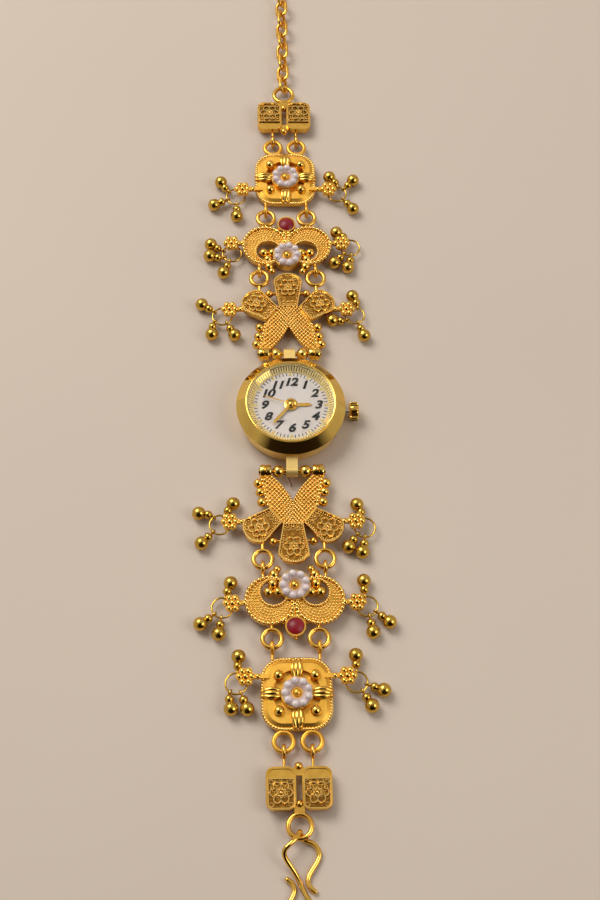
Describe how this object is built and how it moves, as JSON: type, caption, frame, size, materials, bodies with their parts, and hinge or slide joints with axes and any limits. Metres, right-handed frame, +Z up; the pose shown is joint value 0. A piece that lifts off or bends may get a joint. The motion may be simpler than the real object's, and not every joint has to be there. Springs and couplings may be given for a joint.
{
  "type": "bracelet watch",
  "caption": "Lady's gold bracelet watch lying open: small round case, hinged ornamental links with pearls, red stones and hanging bells, an S hook and a chain.",
  "frame": {"origin": "centre of the case back's outer face", "axes": "+X towards the crown, +Y towards twelve o'clock along the strap, +Z up through the crystal"},
  "size_m": [0.0426, 0.2369, 0.0075],
  "materials": {
    "case_gold": "brushed",
    "bezel_gold": "polished",
    "link_gold": "satin",
    "bell_gold": "polished",
    "chain_gold": "polished",
    "crystal_glass": "clear",
    "dial_white": "matte",
    "hand_gold": "polished",
    "pearl": "pearly",
    "ruby_red": "polished",
    "movement_steel": "brushed",
    "movement_brass": "satin",
    "coil_copper": "wound wire",
    "movement_plastic": "moulded"
  },
  "bodies": {
    "watch_head": {"case_middle": "case_gold", "case_back": "case_gold", "bezel": "bezel_gold", "crystal": "crystal_glass", "dial": "dial_white", "movement_holder": "movement_plastic", "main_plate": "movement_brass", "battery": "movement_steel", "coil": "coil_copper", "circuit_board": "movement_plastic", "stator": "movement_steel", "lug_bars": "case_gold", "bar_beads": "case_gold"},
    "hour_hand_group": {"hour_wheel": "movement_brass", "hour_hand": "hand_gold"},
    "minute_hand_group": {"cannon_pinion": "movement_brass", "minute_hand": "hand_gold"},
    "second_hand_group": {"seconds_wheel": "movement_brass", "second_hand": "hand_gold"},
    "minute_wheel_group": {"minute_wheel": "movement_brass"},
    "rotor_group": {"rotor": "movement_steel"},
    "lever_group": {"setting_lever": "movement_steel"},
    "crown_group": {"crown": "bezel_gold", "winding_stem": "movement_steel"},
    "fan_twelve": {"fan_link_twelve": "link_gold"},
    "bells_fan_twelve_right": {"bells_fan_twelve_right": "bell_gold"},
    "bells_fan_twelve_left": {"bells_fan_twelve_left": "bell_gold"},
    "paisley_twelve": {"paisley_link_twelve": "link_gold", "paisley_pearls_twelve": "pearl", "ruby_twelve": "ruby_red"},
    "bells_paisley_twelve_right": {"bells_paisley_twelve_right": "bell_gold"},
    "bells_paisley_twelve_left": {"bells_paisley_twelve_left": "bell_gold"},
    "square_twelve": {"square_link_twelve": "link_gold", "square_pearls_twelve": "pearl"},
    "bells_square_twelve_right": {"bells_square_twelve_right": "bell_gold"},
    "bells_square_twelve_left": {"bells_square_twelve_left": "bell_gold"},
    "end_twelve": {"end_link_twelve": "link_gold"},
    "fan_six": {"fan_link_six": "link_gold"},
    "bells_fan_six_right": {"bells_fan_six_right": "bell_gold"},
    "bells_fan_six_left": {"bells_fan_six_left": "bell_gold"},
    "paisley_six": {"paisley_link_six": "link_gold", "paisley_pearls_six": "pearl", "ruby_six": "ruby_red"},
    "bells_paisley_six_right": {"bells_paisley_six_right": "bell_gold"},
    "bells_paisley_six_left": {"bells_paisley_six_left": "bell_gold"},
    "square_six": {"square_link_six": "link_gold", "square_pearls_six": "pearl"},
    "bells_square_six_right": {"bells_square_six_right": "bell_gold"},
    "bells_square_six_left": {"bells_square_six_left": "bell_gold"},
    "end_six": {"end_link_six": "link_gold"},
    "hook_group": {"s_hook": "chain_gold"},
    "chain_1": {"chain_link_1": "chain_gold"},
    "chain_2": {"chain_link_2": "chain_gold"},
    "chain_3": {"chain_link_3": "chain_gold"},
    "chain_4": {"chain_link_4": "chain_gold"},
    "chain_5": {"chain_link_5": "chain_gold"},
    "chain_6": {"chain_link_6": "chain_gold"},
    "chain_7": {"chain_link_7": "chain_gold"},
    "chain_8": {"chain_link_8": "chain_gold"},
    "chain_9": {"chain_link_9": "chain_gold"}
  },
  "joints": [
    {"name": "second_hand_turn", "type": "hinge", "parent": "watch_head", "child": "second_hand_group", "pos_m": [0, 0, 0.0054], "axis": [0, 0, -1], "continuous": true},
    {"name": "minute_hand_turn", "type": "hinge", "parent": "watch_head", "child": "minute_hand_group", "pos_m": [0, 0, 0.0054], "axis": [0, 0, -1], "continuous": true},
    {"name": "hour_hand_turn", "type": "hinge", "parent": "watch_head", "child": "hour_hand_group", "pos_m": [0, 0, 0.0054], "axis": [0, 0, -1], "continuous": true},
    {"name": "minute_wheel_turn", "type": "hinge", "parent": "watch_head", "child": "minute_wheel_group", "pos_m": [0, 0.00192, 0.0045], "axis": [0, 0, -1], "continuous": true},
    {"name": "rotor_turn", "type": "hinge", "parent": "watch_head", "child": "rotor_group", "pos_m": [0.0031, 0.0022, 0.00345], "axis": [0, 0, -1], "continuous": true},
    {"name": "crown_pull", "type": "slide", "parent": "watch_head", "child": "lever_group", "axis": [1, 0, 0], "range_m": [0, 0.0009]},
    {"name": "crown_turn", "type": "hinge", "parent": "lever_group", "child": "crown_group", "pos_m": [0.012, 0, 0.0023], "axis": [1, 0, 0], "continuous": true},
    {"name": "fan_hinge_twelve", "type": "hinge", "parent": "watch_head", "child": "fan_twelve", "pos_m": [0, 0.0147, 0.0024], "axis": [1, 0, 0], "range_deg": [-35, 25]},
    {"name": "bells_fan_twelve_right_swing", "type": "hinge", "parent": "fan_twelve", "child": "bells_fan_twelve_right", "pos_m": [0.0134, 0.0266, 0.0015], "axis": [-0.5, -0.866, 0], "range_deg": [-50, 8]},
    {"name": "bells_fan_twelve_left_swing", "type": "hinge", "parent": "fan_twelve", "child": "bells_fan_twelve_left", "pos_m": [-0.0134, 0.0266, 0.0015], "axis": [-0.5736, 0.8192, 0], "range_deg": [-50, 8]},
    {"name": "paisley_hinge_twelve", "type": "hinge", "parent": "fan_twelve", "child": "paisley_twelve", "pos_m": [0, 0.03705, 0.0024], "axis": [1, 0, 0], "range_deg": [-35, 25]},
    {"name": "bells_paisley_twelve_right_swing", "type": "hinge", "parent": "paisley_twelve", "child": "bells_paisley_twelve_right", "pos_m": [0.0129, 0.0449, 0.0015], "axis": [-0.2588, -0.9659, 0], "range_deg": [-50, 8]},
    {"name": "bells_paisley_twelve_left_swing", "type": "hinge", "parent": "paisley_twelve", "child": "bells_paisley_twelve_left", "pos_m": [-0.0129, 0.0449, 0.0015], "axis": [-1, 0, 0], "range_deg": [-50, 10]},
    {"name": "square_hinge_twelve", "type": "hinge", "parent": "paisley_twelve", "child": "square_twelve", "pos_m": [0, 0.0544, 0.002], "axis": [1, 0, 0], "range_deg": [-35, 25]},
    {"name": "bells_square_twelve_right_swing", "type": "hinge", "parent": "square_twelve", "child": "bells_square_twelve_right", "pos_m": [0.0103, 0.0606, 0.0015], "axis": [-0.2588, -0.9659, 0], "range_deg": [-50, 22]},
    {"name": "bells_square_twelve_left_swing", "type": "hinge", "parent": "square_twelve", "child": "bells_square_twelve_left", "pos_m": [-0.0103, 0.0606, 0.0015], "axis": [-0.6428, 0.766, 0], "range_deg": [-50, 6]},
    {"name": "end_hinge_twelve", "type": "hinge", "parent": "square_twelve", "child": "end_twelve", "pos_m": [0, 0.0757, 0.0016], "axis": [1, 0, 0], "range_deg": [-35, 25]},
    {"name": "fan_hinge_six", "type": "hinge", "parent": "watch_head", "child": "fan_six", "pos_m": [0, -0.0147, 0.0024], "axis": [-1, 0, 0], "range_deg": [-35, 25]},
    {"name": "bells_fan_six_right_swing", "type": "hinge", "parent": "fan_six", "child": "bells_fan_six_right", "pos_m": [0.0134, -0.0266, 0.0015], "axis": [-0.5, -0.866, 0], "range_deg": [-50, 6]},
    {"name": "bells_fan_six_left_swing", "type": "hinge", "parent": "fan_six", "child": "bells_fan_six_left", "pos_m": [-0.0134, -0.0266, 0.0015], "axis": [-0.0872, 0.9962, 0], "range_deg": [-50, 6]},
    {"name": "paisley_hinge_six", "type": "hinge", "parent": "fan_six", "child": "paisley_six", "pos_m": [0, -0.03705, 0.0024], "axis": [-1, 0, 0], "range_deg": [-35, 25]},
    {"name": "bells_paisley_six_right_swing", "type": "hinge", "parent": "paisley_six", "child": "bells_paisley_six_right", "pos_m": [0.0129, -0.0449, 0.0015], "axis": [-0.2588, -0.9659, 0], "range_deg": [-50, 0]},
    {"name": "bells_paisley_six_left_swing", "type": "hinge", "parent": "paisley_six", "child": "bells_paisley_six_left", "pos_m": [-0.0129, -0.0449, 0.0015], "axis": [-0.2588, 0.9659, 0], "range_deg": [-50, 4]},
    {"name": "square_hinge_six", "type": "hinge", "parent": "paisley_six", "child": "square_six", "pos_m": [0, -0.0544, 0.002], "axis": [-1, 0, 0], "range_deg": [-35, 25]},
    {"name": "bells_square_six_right_swing", "type": "hinge", "parent": "square_six", "child": "bells_square_six_right", "pos_m": [0.0103, -0.0606, 0.0015], "axis": [-0.5, -0.866, 0], "range_deg": [-50, 14]},
    {"name": "bells_square_six_left_swing", "type": "hinge", "parent": "square_six", "child": "bells_square_six_left", "pos_m": [-0.0103, -0.0606, 0.0015], "axis": [-0.5, 0.866, 0], "range_deg": [-50, 8]},
    {"name": "end_hinge_six", "type": "hinge", "parent": "square_six", "child": "end_six", "pos_m": [0, -0.0757, 0.0016], "axis": [-1, 0, 0], "range_deg": [-35, 25]},
    {"name": "hook_swing", "type": "hinge", "parent": "end_six", "child": "hook_group", "pos_m": [0, -0.0926, 0.0018], "axis": [-1, 0, 0], "range_deg": [-30, 30]},
    {"name": "chain_swing_1", "type": "hinge", "parent": "end_twelve", "child": "chain_1", "pos_m": [0, 0.0926, 0.0018], "axis": [1, 0, 0], "range_deg": [-20, 20]},
    {"name": "chain_swing_2", "type": "hinge", "parent": "chain_1", "child": "chain_2", "pos_m": [0, 0.09613, 0.0018], "axis": [1, 0, 0], "range_deg": [-20, 20]},
    {"name": "chain_swing_3", "type": "hinge", "parent": "chain_2", "child": "chain_3", "pos_m": [0, 0.09974, 0.0018], "axis": [1, 0, 0], "range_deg": [-20, 20]},
    {"name": "chain_swing_4", "type": "hinge", "parent": "chain_3", "child": "chain_4", "pos_m": [0, 0.10335, 0.0018], "axis": [1, 0, 0], "range_deg": [-20, 20]},
    {"name": "chain_swing_5", "type": "hinge", "parent": "chain_4", "child": "chain_5", "pos_m": [0, 0.10696, 0.0018], "axis": [1, 0, 0], "range_deg": [-20, 20]},
    {"name": "chain_swing_6", "type": "hinge", "parent": "chain_5", "child": "chain_6", "pos_m": [0, 0.11057, 0.0018], "axis": [1, 0, 0], "range_deg": [-20, 20]},
    {"name": "chain_swing_7", "type": "hinge", "parent": "chain_6", "child": "chain_7", "pos_m": [0, 0.11418, 0.0018], "axis": [1, 0, 0], "range_deg": [-20, 20]},
    {"name": "chain_swing_8", "type": "hinge", "parent": "chain_7", "child": "chain_8", "pos_m": [0, 0.11779, 0.0018], "axis": [1, 0, 0], "range_deg": [-20, 20]},
    {"name": "chain_swing_9", "type": "hinge", "parent": "chain_8", "child": "chain_9", "pos_m": [0, 0.1214, 0.0018], "axis": [1, 0, 0], "range_deg": [-20, 20]}
  ],
  "couplings": [
    {"joint": "minute_hand_turn", "follows": "second_hand_turn", "ratio": 0.016667},
    {"joint": "hour_hand_turn", "follows": "second_hand_turn", "ratio": 0.0013889},
    {"joint": "minute_wheel_turn", "follows": "second_hand_turn", "ratio": -0.0055556},
    {"joint": "rotor_turn", "follows": "second_hand_turn", "ratio": 30}
  ]
}
